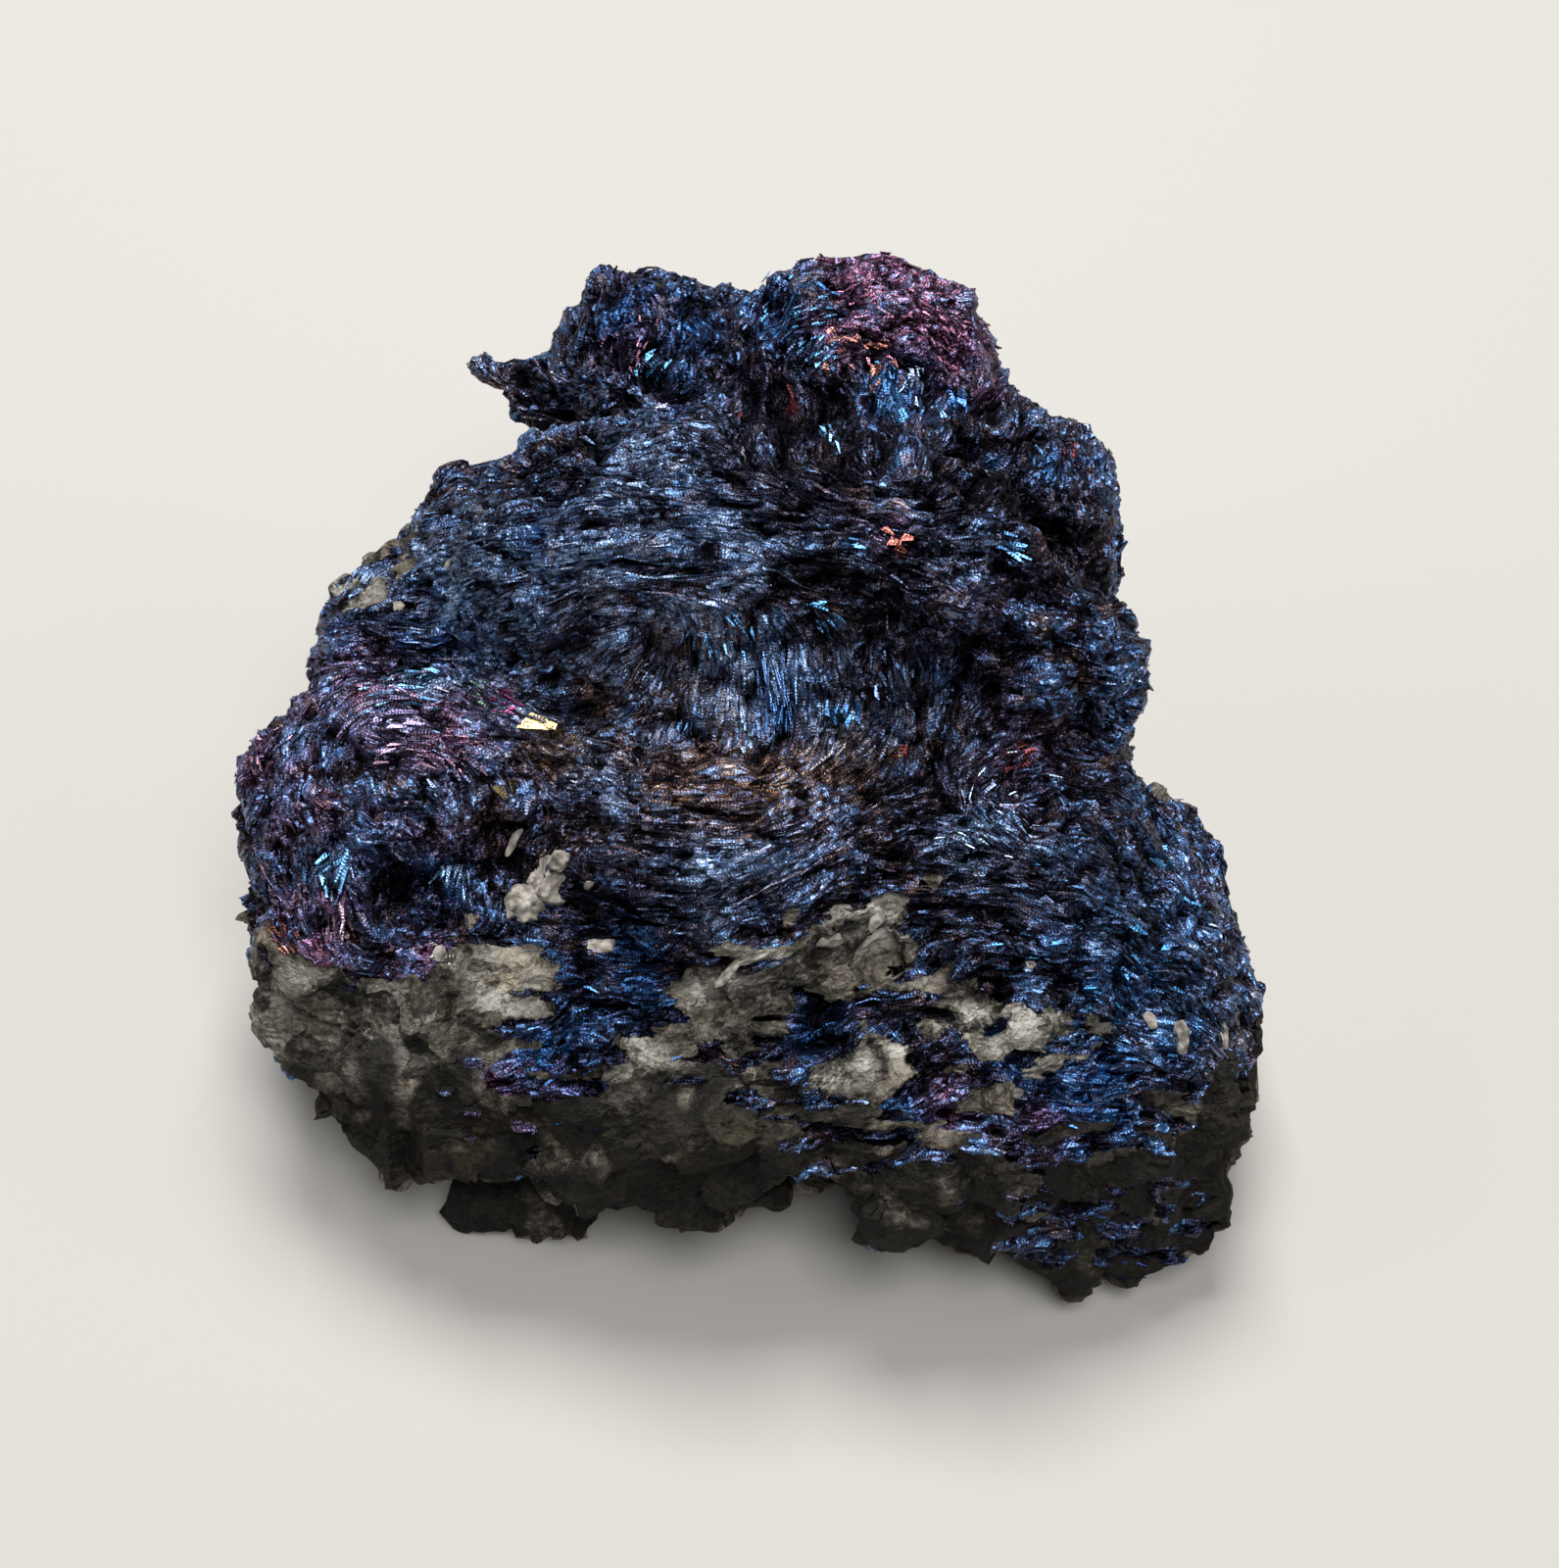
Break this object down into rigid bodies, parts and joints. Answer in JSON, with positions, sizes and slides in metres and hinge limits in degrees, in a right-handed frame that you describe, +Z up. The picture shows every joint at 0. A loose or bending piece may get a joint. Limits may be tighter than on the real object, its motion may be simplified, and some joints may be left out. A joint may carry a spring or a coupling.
{
  "type": "covellite specimen",
  "caption": "Rough hand specimen of foliated indigo covellite with rounded lobes, an overhung hollow and a grey sulphide matrix along its foot.",
  "frame": {"origin": "middle of the specimen's bounding box at the level of the flat spot that it rests on", "axes": "+Z up, +X to the right and +Y away from the viewer who faces the matrix foot"},
  "size_m": [0.0706, 0.0634, 0.0425],
  "materials": {
    "covellite": "foliated leaves with a dull indigo metal lustre, blue and violet tarnish"
  },
  "bodies": {
    "root": {"covellite_specimen": "covellite"}
  },
  "joints": []
}
